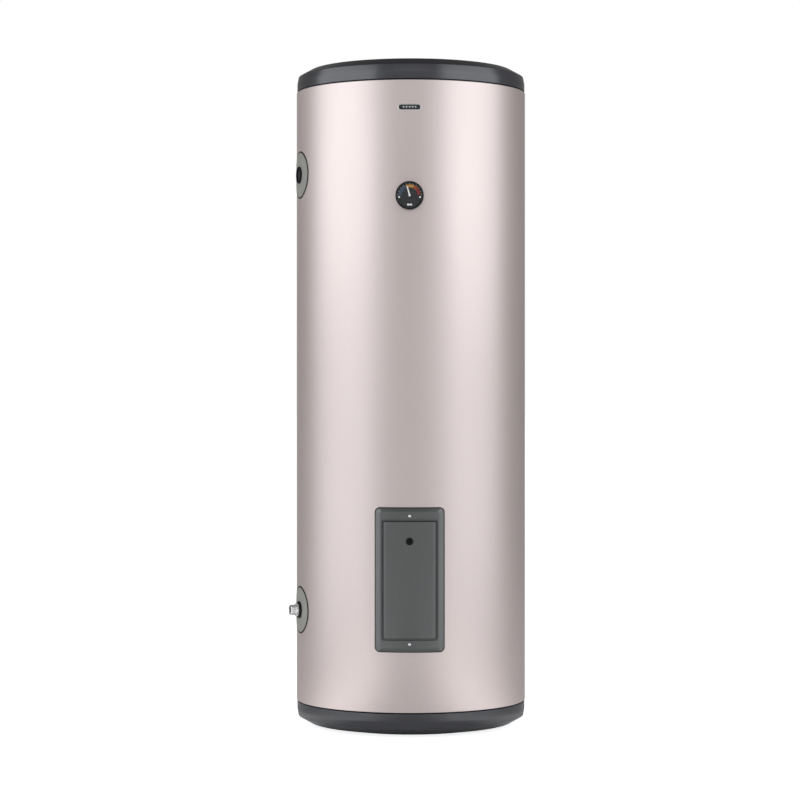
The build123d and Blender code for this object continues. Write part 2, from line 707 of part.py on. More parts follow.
def flange_parts():
    """The heating flange on its neck, and both of the tank's flat seals."""
    frame = radial(0, FLANGE_Z)
    bolts_at = ring_of(frame, BOLT_COUNT, BOLT_CIRCLE_R, 30)
    element_ends = [(sx * ELEMENT_X, sy * ELEMENT_Y) for sx in (-1, 1) for sy in (-1, 1)]

    neck = tube(frame, FLANGE_R, FLANGE_HOLE_R, 240, NECK_FACE)
    gasket = tube(frame, FLANGE_R, FLANGE_HOLE_R, NECK_FACE + 0.05, FLANGE_BACK - 0.05)
    plate = rod(frame, FLANGE_R, FLANGE_BACK, FLANGE_FACE)
    bolts = []
    for x, y in bolts_at:
        neck -= rod(frame, 4.05, 250, NECK_FACE, x, y)
        gasket -= rod(frame, 4.5, 250, 290, x, y)
        plate -= rod(frame, 4.5, 250, 290, x, y)
        bolt = rod(frame, 4.0, 252, FLANGE_FACE + 0.2, x, y)
        bolts.append(bolt + hexagon(frame, 13, FLANGE_FACE + 0.1, FLANGE_FACE + 5.4, x, y))

    elements, insulators = [], []
    for side in (-1, 1):
        x = side * ELEMENT_X
        path = [
            (x, ELEMENT_Y, FLANGE_FACE + 3),
            (x, ELEMENT_Y, ELEMENT_REACH),
            (x, -ELEMENT_Y, ELEMENT_REACH),
            (x, -ELEMENT_Y, FLANGE_FACE + 3),
        ]
        elements.append(wire(frame, path, ELEMENT_R, ELEMENT_Y - 0.5))
    for x, y in element_ends:
        plate -= rod(frame, ELEMENT_R + 0.05, 250, 290, x, y)
        insulator = rod(frame, 4.8, FLANGE_FACE + 3.1, FLANGE_FACE + 8, x, y)
        insulators.append(insulator + rod(frame, 2.0, FLANGE_FACE + 7, FLANGE_FACE + 15, x, y))

    plate -= rod(frame, POCKET_R + 0.05, 250, 290)
    pocket = rod(frame, POCKET_R, 20, FLANGE_FACE + 0.3) - rod(frame, 5.0, 24, 290)
    washer = shell(ANODE_SOCKET_R, ANODE_THREAD_R + 0.1, ANODE_SEAT + 0.05, ANODE_SEAT + 1.95)
    return {
        "element_flange_neck": neck,
        "tank_seals": Compound([gasket.solid(), washer.solid()]),
        "element_flange": plate,
        "element_flange_bolts": Compound(bolts),
        "heating_elements": Compound(elements),
        "element_terminals": Compound(insulators),
        "thermostat_pocket": pocket,
    }


THERMO_BACK = FLANGE_FACE + 1.0
THERMO_FACE = THERMO_BACK + 22.0
DIAL_Y = -9.0
RESET_Y = 17.0
BLOCK_Y = 128.0  # terminal block above the flange centre
BLOCK_FACE = BOX_BACK + 19.0
RESET_R = 3.5
KNOB_R = 13.0


def control_parts():
    frame = radial(0, FLANGE_Z)
    body = rounded_prism(frame, 50, 64, 3, THERMO_BACK, THERMO_FACE)
    body -= rod(frame, RESET_R + 0.3, THERMO_FACE - 8, THERMO_FACE + 1, y=RESET_Y)
    body -= rod(frame, 3.3, THERMO_FACE - 10, THERMO_FACE + 1, y=DIAL_Y)
    body += rod(frame, 3.5, 40, THERMO_BACK + 1)

    knob = rod(frame, KNOB_R, THERMO_FACE + 0.4, THERMO_FACE + 5, y=DIAL_Y)
    knob = chamfer(knob.edges().group_by(Axis.Y)[0], 0.8)
    knob += rod(frame, 3.0, THERMO_FACE - 9, THERMO_FACE + 1, y=DIAL_Y)
    knob -= block(frame, 1.6, 14, THERMO_FACE + 3.6, THERMO_FACE + 6, y=DIAL_Y + 4)

    button = rod(frame, RESET_R, THERMO_FACE - 4.5, THERMO_FACE + 2.6, y=RESET_Y)
    button = fillet(button.edges().group_by(Axis.Y)[0], 0.8)

    terminals = block(frame, 66, 24, BOX_BACK + 0.1, BLOCK_FACE, y=BLOCK_Y)
    screws = []
    for x in (-22, 0, 22):
        for y in (BLOCK_Y + 7, BLOCK_Y - 7):
            terminals -= rod(frame, 3.4, BLOCK_FACE - 6, BLOCK_FACE + 1, x, y)
            screw = rod(frame, 3.2, BLOCK_FACE - 5.8, BLOCK_FACE - 2.5, x, y)
            slot = block(frame, 7, 0.9, BLOCK_FACE - 3.6, BLOCK_FACE, x, y)
            screws.append(screw - slot)

    saddle_y = 162.0
    saddle = block(frame, 34, 9, BOX_BACK + 0.1, BOX_BACK + 5, y=saddle_y)
    saddle += block(frame, 34, 7, BOX_BACK + 14, BOX_BACK + 16, y=saddle_y)
    for x in (-13, 13):
        saddle += rod(frame, 2.0, BOX_BACK + 4, BOX_BACK + 17, x, saddle_y)
        saddle += rod(frame, 3.4, BOX_BACK + 15.9, BOX_BACK + 18, x, saddle_y)

    box = block(radial(0, ACCESS_Z), BOX_W, BOX_H, BOX_BACK - BOX_T, 330)
    box -= block(radial(0, ACCESS_Z), BOX_W - 2, BOX_H - 2, BOX_BACK, 331)
    box &= upright(JACKET_IN - GAP, 200, 600)
    box -= rod(frame, FLANGE_R + 0.2, 200, 300)
    return {
        "thermostat_body": body,
        "thermostat_dial": knob,
        "reset_button": button,
        "terminal_block": terminals,
        "terminal_screws": Compound(screws),
        "cable_clamp": saddle,
        "wiring_compartment": box,
    }


WIRE_R = 1.4


def wiring():
    """Three supply wires down to the thermostat and flange, and two on to the elements."""
    frame = radial(0, FLANGE_Z)
    depth = BOX_BACK + 9
    block_low = BLOCK_Y - 12.1
    thermo_top = 32.1
    wires = []
    for side, x0, x1 in ((-1, -22.0, -14.0), (1, 0.0, 14.0)):
        feed = [
            (x0, block_low, depth),
            (x0, 92, depth),
            (x1, 62, depth + 16),
            (x1, thermo_top, depth + 16),
        ]
        tail = [
            (side * 25.1, 18, THERMO_BACK + 10),
            (side * 31, 18, THERMO_BACK + 10),
            (side * 31, 18, FLANGE_FACE + 21),
            (side * ELEMENT_X, ELEMENT_Y, FLANGE_FACE + 21),
            (side * ELEMENT_X, ELEMENT_Y, FLANGE_FACE + 15.1),
        ]
        wires += [wire(frame, feed, WIRE_R, 8), wire(frame, tail, WIRE_R, 2)]
    earth = [
        (22, block_low, depth),
        (22, 96, depth),
        (52, 84, depth + 3),
        (52, 54, FLANGE_FACE + 4),
    ]
    wires.append(wire(frame, earth, WIRE_R, 6))
    return {"supply_wires": Compound([w.solid() for w in wires])}


# ---- anode ------------------------------------------------------------------------------------------------------
def anode_parts():
    plug = upright(ANODE_THREAD_R, ANODE_SEAT - 24, ANODE_SEAT + 2.1)
    head = extrude(RegularPolygon(20, 6, major_radius=False), 12)
    plug += Pos(0, 0, ANODE_SEAT + 2) * head
    return {"anode_plug": plug, "anode_rod": upright(11, 1000, ANODE_SEAT - 24.05)}


# ---- badge --------------------------------------------------------------------------------------------------------
def badge():
    return curved_plate(58, 15, 7.4, JACKET_R + 1.2, JACKET_R + 0.05, z=BADGE_Z)


def build():
    return {
        **tank_parts(),
        **leg_parts(),
        "base_pan": base_pan(),
        **cover_parts(),
        **jacket_parts(),
        "insulation_foam": insulation(),
        **port_parts(),
        "cold_inlet_nipple": inlet_nipple(),
        **internal_pipes(),
        **relief_parts(),
        **drain_parts(),
        **gauge_parts(),
        **access_parts(),
        **flange_parts(),
        **control_parts(),
        **wiring(),
        **anode_parts(),
        "name_badge": badge(),
    }



def main():
    os.makedirs("parts", exist_ok=True)
    for name, shape in build().items():
        export_step(shape, f"parts/{name}.step")


main()
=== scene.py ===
"""Looks for a floor-standing tank water heater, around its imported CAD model.

Shapes are worked out in millimetres and turned into metres as they become meshes.
A port's own frame has x round the tank, y up, and the distance d from the tank's axis.
"""
import json
import math

import bmesh
import bpy
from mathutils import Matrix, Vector


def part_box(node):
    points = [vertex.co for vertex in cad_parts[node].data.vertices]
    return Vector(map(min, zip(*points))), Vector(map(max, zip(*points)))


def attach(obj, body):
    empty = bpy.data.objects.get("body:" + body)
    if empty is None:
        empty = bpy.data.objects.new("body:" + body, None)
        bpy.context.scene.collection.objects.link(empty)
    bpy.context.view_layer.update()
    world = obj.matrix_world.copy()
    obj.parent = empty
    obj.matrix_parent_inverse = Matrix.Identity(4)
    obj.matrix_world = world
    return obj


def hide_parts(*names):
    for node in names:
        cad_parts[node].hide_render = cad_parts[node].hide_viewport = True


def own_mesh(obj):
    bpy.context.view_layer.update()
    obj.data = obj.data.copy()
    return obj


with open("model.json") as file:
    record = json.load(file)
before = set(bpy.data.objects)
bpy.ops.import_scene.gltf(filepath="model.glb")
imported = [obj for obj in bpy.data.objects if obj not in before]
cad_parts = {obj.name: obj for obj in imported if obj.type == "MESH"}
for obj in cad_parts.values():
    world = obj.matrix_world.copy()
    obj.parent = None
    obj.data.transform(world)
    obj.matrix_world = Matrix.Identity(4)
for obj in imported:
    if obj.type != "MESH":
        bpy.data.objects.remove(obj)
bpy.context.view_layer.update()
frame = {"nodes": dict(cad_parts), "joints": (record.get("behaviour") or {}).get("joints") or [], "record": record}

NODES = frame["nodes"]
RECORD = frame["record"]
MOUNTS = {m["name"]: m for m in RECORD["mounts"]}
JOINTS = {j["name"]: j for j in frame["joints"]}
SLOT_OF = {s["node"]: s["material_slot"] for s in RECORD["subparts"]}
MM = 0.001

# ---- places, from the frame ---------------------------------------------------------------------


def box_mm(node):
    low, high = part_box(node)
    return [v / MM for v in low], [v / MM for v in high]


JACKET_LOW = box_mm("outer_jacket")[0][2]
JACKET_HIGH = box_mm("outer_jacket")[1][2]
JACKET_R = box_mm("outer_jacket")[1][0]
BASE_LOW = box_mm("base_cover")[0][2]
TOP_HIGH = box_mm("top_cover")[1][2]
COVER_R = box_mm("top_cover")[1][0]


def centre_z(node):
    low, high = box_mm(node)
    return (low[2] + high[2]) / 2


def place_of(point):
    """(azimuth from the front towards the left in degrees, height in mm) of a point."""
    x, y, z = point
    return math.degrees(math.atan2(-x, -y)), z / MM


HOT = place_of(MOUNTS["hot_outlet"]["pos_m"])
COLD = place_of(MOUNTS["cold_inlet"]["pos_m"])
DRAIN = place_of(MOUNTS["drain_outlet"]["pos_m"])
RELIEF = place_of(JOINTS["relief_lever_turn"]["pos_m"])
GAUGE = place_of(JOINTS["thermometer_swing"]["pos_m"])
CABLE = place_of(MOUNTS["cable_entry"]["pos_m"])
ACCESS = (0.0, centre_z("access_cover"))
BADGE = (0.0, centre_z("name_badge"))


def axes(azimuth):
    a = math.radians(azimuth)
    return Vector((math.cos(a), -math.sin(a), 0)), Vector((-math.sin(a), -math.cos(a), 0))


def flat(place):
    """Maps a port's own (x, y, d) to the frame, in metres."""
    across, out = axes(place[0])
    return lambda x, y, d: (across * x + out * d + Vector((0, 0, place[1] + y))) * MM


def wrapped(place):
    """Maps (x, y, h) to the frame, where h is the height above the jacket's round side."""
    across, out = axes(place[0])

    def point(x, y, h):
        d = math.sqrt((JACKET_R + h) ** 2 - x * x)
        return (across * x + out * d + Vector((0, 0, place[1] + y))) * MM

    return point


def tank_axis(x, y, z):
    """Maps points turned about the tank's own axis."""
    return Vector((x, y, z)) * MM


# ---- outlines -----------------------------------------------------------------------------------


def softened(points, steps=4, closed=True):
    """Rounds the corners of an outline. Each point is (a, b) or (a, b, radius)."""
    count = len(points)
    outline = []
    for i, point in enumerate(points):
        radius = point[2] if len(point) > 2 else 0
        corner = Vector(point[:2])
        if not radius or (not closed and i in (0, count - 1)):
            outline.append(tuple(corner))
            continue
        before = Vector(points[i - 1][:2]) - corner
        after = Vector(points[(i + 1) % count][:2]) - corner
        half = before.angle(after) / 2
        cut = min(radius / math.tan(half), 0.49 * before.length, 0.49 * after.length)
        start = corner + before.normalized() * cut
        end = corner + after.normalized() * cut
        for k in range(steps + 1):
            t = k / steps
            bend = start * (1 - t) ** 2 + corner * 2 * t * (1 - t) + end * t * t
            outline.append(tuple(bend))
    return outline


def circle(r, count):
    turns = [math.tau * i / count for i in range(count)]
    return [(r * math.cos(a), r * math.sin(a)) for a in turns]


def round_rect(w, h, r, count=8, side=1):
    """A rounded rectangle's outline; the point count doesn't depend on its size."""
    corners = []
    for cx, cy, start in ((1, 1, 0), (-1, 1, 1), (-1, -1, 2), (1, -1, 3)):
        turns = [math.pi / 2 * (start + k / count) for k in range(count + 1)]
        centre = Vector((cx * (w / 2 - r), cy * (h / 2 - r)))
        corners.append([centre + Vector((math.cos(a), math.sin(a))) * r for a in turns])
    outline = []
    for i, arc in enumerate(corners):
        onward = corners[(i + 1) % 4][0]
        outline += arc + [arc[-1].lerp(onward, k / side) for k in range(1, side)]
    return outline


def hexagon_r(angle, across_flats):
    return across_flats / 2 / math.cos((angle % (math.pi / 3)) - math.pi / 6)


# ---- meshes -------------------------------------------------------------------------------------


def sharpen(mesh, angle=32):
    """Smooth faces, with edges kept sharp where the surface turns by more than the angle."""
    bm = bmesh.new()
    bm.from_mesh(mesh)
    bmesh.ops.recalc_face_normals(bm, faces=bm.faces)
    for face in bm.faces:
        face.smooth = True
    for edge in bm.edges:
        if len(edge.link_faces) == 2:
            edge.smooth = edge.calc_face_angle(0) < math.radians(angle)
    bm.to_mesh(mesh)
    bm.free()


def new_object(name, verts, faces, angle=32):
    mesh = bpy.data.meshes.new(name)
    mesh.from_pydata([tuple(v) for v in verts], [], faces)
    mesh.validate()
    sharpen(mesh, angle)
    obj = bpy.data.objects.new(name, mesh)
    bpy.context.scene.collection.objects.link(obj)
    return obj


def skin(name, rings, looped=False, angle=32):
    """Joins rings of equally many points. Ends are capped, or joined if looped."""
    count = len(rings[0])
    verts = [p for ring in rings for p in ring]
    faces = []
    pairs = len(rings) if looped else len(rings) - 1
    for i in range(pairs):
        a, b = i * count, (i + 1) % len(rings) * count
        for k in range(count):
            n = (k + 1) % count
            faces.append((a + k, a + n, b + n, b + k))
    if not looped:
        faces.append(tuple(range(count))[::-1])
        faces.append(tuple(range(len(verts) - count, len(verts))))
    return new_object(name, verts, faces, angle)


def lathe(name, where, profile, count=96, looped=True, angle=32):
    """Turns (radius, d) points about the d axis of a frame."""
    rings = [[where(x, y, d) for x, y in circle(r, count)] for r, d in profile]
    return skin(name, rings, looped, angle)


def loft(name, where, rows, looped=False, angle=32, count=10, side=1):
    """Joins rounded rectangles, each (w, h, corner, height)."""
    rings = [
        [where(x, y, d) for x, y in round_rect(w, h, r, count, side)] for w, h, r, d in rows
    ]
    return skin(name, rings, looped, angle)


def thread_rings(where, r_small, r_big, start, end, pitch=1.814, count=72, per_turn=8):
    """Rings of a real helical thread that fades out over its first and last turn."""
    rings = []
    steps = int((end - start) / pitch * per_turn)
    for i in range(steps + 1):
        d = start + (end - start) * i / steps
        fade = min(1.0, (d - start) / pitch, (end - d) / pitch)
        ring = []
        for k in range(count):
            phase = (d / pitch - k / count) % 1.0
            tooth = min(1.0, max(0.0, 2.4 * (1 - abs(2 * phase - 1)) - 0.7))
            r = r_small + (r_big - r_small) * (tooth if r_small < r_big else 1 - tooth) * fade
            a = math.tau * k / count
            ring.append(where(r * math.cos(a), r * math.sin(a), d))
        rings.append(ring)
    return rings


def joined(name, *objects):
    """One object from several."""
    bpy.ops.object.select_all(action="DESELECT")
    for obj in objects:
        obj.select_set(True)
    bpy.context.view_layer.objects.active = objects[0]
    bpy.ops.object.join()
    objects[0].name = name
    objects[0].data.name = name
    return objects[0]


def cut(obj, *cutters, angle=32):
    """Takes cutters out of an object, and deletes them."""
    for cutter in cutters:
        mod = obj.modifiers.new("cut", "BOOLEAN")
        mod.operation = "DIFFERENCE"
        mod.solver = "EXACT"
        mod.object = cutter
    bpy.context.view_layer.update()
    graph = bpy.context.evaluated_depsgraph_get()
    mesh = bpy.data.meshes.new_from_object(obj.evaluated_get(graph))
    obj.modifiers.clear()
    obj.data = mesh
    for cutter in cutters:
        bpy.data.objects.remove(cutter)
    sharpen(mesh, angle)
    return obj


def plug(where, r, start, end, count=48):
    """A plain round cutter."""
    return lathe("cutter", where, [(r, start), (r, end)], count, looped=False)


def piece(obj, material, body="heater", slot=None, replaces=()):
    obj.data.materials.clear()
    obj.data.materials.append(material)
    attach(obj, body)
    if replaces:
        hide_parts(*replaces)
        slot = slot or SLOT_OF[replaces[0]]
    return obj


# ---- materials ----------------------------------------------------------------------------------


def linear(r, g, b):
    def channel(v):
        v /= 255
        return v / 12.92 if v <= 0.04045 else ((v + 0.055) / 1.055) ** 2.4

    return channel(r), channel(g), channel(b)


class Finish:
    """A Principled material whose colour, roughness and bump come from noise."""

    def __init__(self, name, colour, roughness, metallic=0.0, **sockets):
        self.material = bpy.data.materials.new(name)
        self.material.use_nodes = True
        self.tree = self.material.node_tree
        self.shader = self.tree.nodes["Principled BSDF"]
        self.colour = colour
        self.roughness = roughness
        self.shader.inputs["Base Color"].default_value = (*colour, 1)
        self.shader.inputs["Roughness"].default_value = roughness
        self.shader.inputs["Metallic"].default_value = metallic
        for key, value in sockets.items():
            label = key.replace("_", " ").title().replace("Ior", "IOR")
            self.shader.inputs[label].default_value = value
        self.place = self.node("ShaderNodeTexCoord").outputs["Object"]
        self.bump_in = None

    def node(self, kind, **settings):
        node = self.tree.nodes.new(kind)
        for key, value in settings.items():
            setattr(node, key, value)
        return node

    def link(self, a, b):
        self.tree.links.new(a, b)

    def noise(self, scale, detail=3.0, stretch=(1, 1, 1), rough=0.5):
        mapping = self.node("ShaderNodeMapping")
        mapping.inputs["Scale"].default_value = stretch
        self.link(self.place, mapping.inputs["Vector"])
        noise = self.node("ShaderNodeTexNoise")
        noise.inputs["Scale"].default_value = scale
        noise.inputs["Detail"].default_value = detail
        noise.inputs["Roughness"].default_value = rough
        self.link(mapping.outputs["Vector"], noise.inputs["Vector"])
        return noise.outputs["Fac"]

    def mottle(self, amount, scale, tint=None, **kw):
        """The colour drifts up and down by a fraction, or towards a tint."""
        ramp = self.node("ShaderNodeValToRGB")
        low = [c * (1 - amount) for c in self.colour]
        high = tint or [min(1, c * (1 + amount)) for c in self.colour]
        ramp.color_ramp.elements[0].position = 0.3
        ramp.color_ramp.elements[0].color = (*low, 1)
        ramp.color_ramp.elements[1].position = 0.7
        ramp.color_ramp.elements[1].color = (*high, 1)
        self.link(self.noise(scale, **kw), ramp.inputs["Fac"])
        self.link(ramp.outputs["Color"], self.shader.inputs["Base Color"])
        return self

    def smudge(self, amount, scale, **kw):
        """The roughness drifts up and down."""
        span = self.node("ShaderNodeMapRange")
        span.inputs["From Min"].default_value = 0.25
        span.inputs["From Max"].default_value = 0.75
        span.inputs["To Min"].default_value = self.roughness - amount
        span.inputs["To Max"].default_value = self.roughness + amount
        self.link(self.noise(scale, **kw), span.inputs["Value"])
        self.link(span.outputs["Result"], self.shader.inputs["Roughness"])
        return self

    def bump(self, height_mm, scale, **kw):
        """Adds a relief of about this height. Several can be stacked."""
        bump = self.node("ShaderNodeBump")
        bump.inputs["Strength"].default_value = 1.0
        bump.inputs["Distance"].default_value = height_mm * MM
        self.link(self.noise(scale, **kw), bump.inputs["Height"])
        if self.bump_in:
            self.link(self.bump_in, bump.inputs["Normal"])
        self.bump_in = bump.outputs["Normal"]
        self.link(self.bump_in, self.shader.inputs["Normal"])
        return self


def jacket_paint():
    f = Finish("jacket_paint", linear(218, 205, 203), 0.46, 0.92)
    f.mottle(0.03, 900, detail=2)
    f.smudge(0.03, 6, stretch=(1, 1, 0.25))
    f.bump(0.006, 1600, detail=2)
    return f.bump(0.25, 2.6, detail=1, stretch=(1, 1, 0.35)).material


def moulded(name, colour, roughness, grain=0.02, wear=0.05, shine=0.5, ior=1.5):
    f = Finish(name, colour, roughness, specular_ior_level=shine, ior=ior)
    f.mottle(wear, 7, detail=1)
    f.smudge(wear, 22, detail=1)
    return f.bump(grain, 1500, detail=2).material


def metal(name, colour, roughness, streak=(1, 1, 1), scale=180, depth=0.004, drift=0.06):
    f = Finish(name, colour, roughness, 1.0)
    f.mottle(drift, scale / 6, detail=4, stretch=streak)
    f.smudge(min(0.08, roughness * 0.5), scale / 3, detail=4, stretch=streak)
    return f.bump(depth, scale * 4, detail=3, stretch=streak).material


def rubber(name, colour):
    f = Finish(name, colour, 0.6, specular_ior_level=0.2)
    f.mottle(0.15, 30, detail=4)
    f.smudge(0.08, 60)
    return f.bump(0.03, 900, detail=3).material


def foam(name, colour):
    f = Finish(name, colour, 0.9)
    f.mottle(0.18, 40, detail=6)
    return f.bump(0.6, 260, detail=5, rough=0.7).material


def glass():
    f = Finish("clear_lens", (0.02, 0.02, 0.02), 0.04, alpha=0.16, specular_ior_level=1.0)
    f.smudge(0.015, 40, detail=3)
    return f.bump(0.002, 60, detail=1).material


def printed(name, colour):
    f = Finish(name, colour, 0.5)
    f.mottle(0.04, 400)
    f.smudge(0.05, 200)
    return f.bump(0.004, 2500).material


def paint_with_painted_glow(name, colour):
    """Bright paint with a painted glow: it emits a little light, so the pointer and dial marks look brighter
    though they are no lamp.
    """
    f = Finish(name, colour, 0.5, emission_strength=0.5)
    f.shader.inputs["Emission Color"].default_value = (*colour, 1)
    f.mottle(0.02, 400)
    return f.bump(0.004, 2500).material


def make_materials():
    return {
        "jacket_paint": jacket_paint(),
        "end_cover_plastic": moulded(
            "end_cover_plastic", linear(28, 28, 38), 0.24, 0.012, 0.03, 1.0, 1.5
        ),
        "access_cover_plastic": moulded(
            "access_cover_plastic", linear(34, 38, 38), 0.4, 0.008, 0.02, 1.0, 1.72
        ),
        "escutcheon_plastic": moulded("escutcheon_plastic", linear(146, 144, 140), 0.45, 0.015),
        "black_rubber": rubber("black_rubber", linear(14, 14, 15)),
        "black_plastic": moulded("black_plastic", linear(16, 16, 17), 0.28, 0.006, shine=0.25),
        "clear_lens": glass(),
        "dial_paint": printed("dial_paint", linear(44, 47, 50)),
        # pointer_paint has a painted glow: its emission brightens the pointer, ticks and dial marks.
        "pointer_paint": paint_with_painted_glow("pointer_paint", linear(250, 250, 247)),
        "chrome_plate": metal("chrome_plate", (0.9, 0.9, 0.91), 0.14, scale=120, depth=0.002),
        "valve_brass": metal("valve_brass", linear(196, 160, 96), 0.24, scale=220, depth=0.004),
        "zinc_steel": metal("zinc_steel", (0.62, 0.63, 0.65), 0.27, scale=260, depth=0.003),
        "stainless_steel": metal(
            "stainless_steel", (0.58, 0.57, 0.55), 0.25, streak=(1, 1, 0.05), depth=0.01
        ),
        "tank_steel": moulded("tank_steel", (0.055, 0.06, 0.07), 0.5, 0.08, 0.3),
        "magnesium": metal("magnesium", (0.6, 0.6, 0.6), 0.5, scale=90, depth=0.1, drift=0.2),
        "insulation": foam("insulation", (0.72, 0.58, 0.3)),
        "terminal_plastic": moulded("terminal_plastic", (0.76, 0.72, 0.62), 0.45),
        "control_plastic": moulded("control_plastic", (0.6, 0.6, 0.58), 0.45),
        "red_plastic": moulded("red_plastic", (0.5, 0.02, 0.015), 0.33, 0.01),
        "wire_insulation": moulded("wire_insulation", (0.1, 0.09, 0.3), 0.35, 0.004),
        "steatite": moulded("steatite", (0.82, 0.78, 0.7), 0.7, 0.05),
        "badge_metal": metal("badge_metal", (0.72, 0.72, 0.73), 0.2, streak=(0.05, 1, 1)),
        "badge_enamel": moulded("badge_enamel", linear(38, 38, 42), 0.2, 0.003),
        "blue_print": printed("blue_print", linear(84, 102, 136)),
        "yellow_print": printed("yellow_print", linear(246, 176, 84)),
        "orange_print": printed("orange_print", linear(205, 92, 36)),
        "red_print": printed("red_print", linear(170, 36, 36)),
    }


# ---- camera, lights and floor -------------------------------------------------------------------

CAMERA_TURN = math.radians(0.6)
CAMERA_AT = (6.18 * math.sin(CAMERA_TURN), -6.18 * math.cos(CAMERA_TURN), 0.86)
SENSOR = 36.0
LENS = 105.6
SHIFT = (-0.0136, -0.0047)
FRONT_GLOW = 0.65
BACK_GLOW = 0.24
FLOOR_GLOW = (  # (metres to the side, glow)
    (0.22, 0.01), (0.36, 0.9), (0.5, 0.75), (0.7, 0.2), (0.97, 0.03),
)
FLOOR_SEEN = 0.84  # the floor's glow as the camera sees it


def make_camera():
    data = bpy.data.cameras.new("camera")
    data.lens = LENS
    data.sensor_width = SENSOR
    data.shift_x, data.shift_y = SHIFT
    data.clip_end = 100
    camera = bpy.data.objects.new("camera", data)
    camera.location = CAMERA_AT
    camera.rotation_euler = (math.pi / 2, 0, CAMERA_TURN)
    bpy.context.scene.collection.objects.link(camera)
    bpy.context.scene.camera = camera


def area_light(name, at, target, size, watts, colour=(1, 1, 1)):
    data = bpy.data.lights.new(name, "AREA")
    data.shape = "RECTANGLE"
    data.size, data.size_y = size
    data.energy = watts
    data.color = colour
    light = bpy.data.objects.new(name, data)
    light.location = at
    aim = Vector(target) - Vector(at)
    light.rotation_euler = aim.to_track_quat("-Z", "Y").to_euler()
    bpy.context.scene.collection.objects.link(light)


def softbox(name, azimuth, low, high, width, radiance):
    """An upright panel at an azimuth from the front, towards the right if positive."""
    a = math.radians(azimuth)
    across, z = 2.4, (low + high) / 2
    at = (across * math.sin(a), -across * math.cos(a), z)
    watts = radiance * math.pi * width * (high - low)
    area_light(name, at, (0, 0, z), (width, high - low), watts, (0.93, 0.975, 1.0))


def make_world():
    """Grey light, brightest from the front and dimmest from behind and above.

    The empty background itself shows white.
    """
    world = bpy.data.worlds.new("studio")
    bpy.context.scene.world = world
    world.use_nodes = True
    tree = world.node_tree
    tree.nodes.clear()

    def node(kind, **inputs):
        made = tree.nodes.new(kind)
        for key, value in inputs.items():
            made.inputs[key.replace("_", " ")].default_value = value
        return made

    def fade(source, start, end, low, high):
        span = node("ShaderNodeMapRange", From_Min=start, From_Max=end, To_Min=low, To_Max=high)
        tree.links.new(source, span.inputs["Value"])
        return span.outputs["Result"]

    toward = node("ShaderNodeSeparateXYZ")
    tree.links.new(node("ShaderNodeTexCoord").outputs["Generated"], toward.inputs["Vector"])
    strength = node("ShaderNodeMath")
    strength.operation = "MULTIPLY"
    tree.links.new(fade(toward.outputs["Y"], -0.7, 0.7, FRONT_GLOW, BACK_GLOW), strength.inputs[0])
    tree.links.new(fade(toward.outputs["Z"], 0.3, 0.9, 1.0, 0.35), strength.inputs[1])
    ambient = node("ShaderNodeBackground")
    tint = node("ShaderNodeValToRGB")
    tint.color_ramp.elements[0].color = (0.99, 1.0, 1.0, 1)
    tint.color_ramp.elements[1].color = (1.0, 0.98, 0.95, 1)
    tree.links.new(fade(toward.outputs["Y"], -0.5, 0.7, 0, 1), tint.inputs["Fac"])
    tree.links.new(tint.outputs["Color"], ambient.inputs["Color"])
    tree.links.new(strength.outputs["Value"], ambient.inputs["Strength"])
    white = node("ShaderNodeBackground", Color=(1, 1, 1, 1), Strength=1.0)
    mix = node("ShaderNodeMixShader")
    out = node("ShaderNodeOutputWorld")
    tree.links.new(node("ShaderNodeLightPath").outputs["Is Camera Ray"], mix.inputs["Fac"])
    tree.links.new(ambient.outputs["Background"], mix.inputs[1])
    tree.links.new(white.outputs["Background"], mix.inputs[2])
    tree.links.new(mix.outputs["Shader"], out.inputs["Surface"])


def make_floor():
    """A wide pale floor. It shows nearly white, and lights the heater only a little."""
    half = 400.0
    corners = [(-half, -half, 0), (half, -half, 0), (half, half, 0), (-half, half, 0)]
    floor = new_object("floor", corners, [(0, 1, 2, 3)])
    f = Finish("floor", (0.88, 0.88, 0.88), 0.8)
    f.mottle(0.01, 3)
    f.shader.inputs["Specular IOR Level"].default_value = 0.1
    f.shader.inputs["Emission Color"].default_value = (1, 1, 1, 1)
    apart = f.node("ShaderNodeSeparateXYZ")
    f.link(f.place, apart.inputs["Vector"])
    away = f.node("ShaderNodeMath", operation="ABSOLUTE")
    f.link(apart.outputs["X"], away.inputs[0])
    sideways = f.node("ShaderNodeValToRGB")
    ramp = sideways.color_ramp
    for position, level in FLOOR_GLOW:
        stop = ramp.elements.new(position)
        stop.color = (level, level, level, 1)
    ramp.elements.remove(ramp.elements[-1])
    ramp.elements.remove(ramp.elements[0])
    f.link(away.outputs["Value"], sideways.inputs["Fac"])
    ahead = f.node("ShaderNodeMapRange")
    ahead.inputs["From Min"].default_value = -0.25
    ahead.inputs["From Max"].default_value = 0.1
    ahead.inputs["To Max"].default_value = 0.04
    f.link(apart.outputs["Y"], ahead.inputs["Value"])
    f.link(sideways.outputs["Color"], ahead.inputs["To Min"])
    glow = f.node("ShaderNodeMapRange")
    f.link(ahead.outputs["Result"], glow.inputs["To Min"])
    glow.inputs["To Max"].default_value = FLOOR_SEEN
    f.link(f.node("ShaderNodeLightPath").outputs["Is Camera Ray"], glow.inputs["Value"])
    f.link(glow.outputs["Result"], f.shader.inputs["Emission Strength"])
    floor.data.materials.append(f.material)


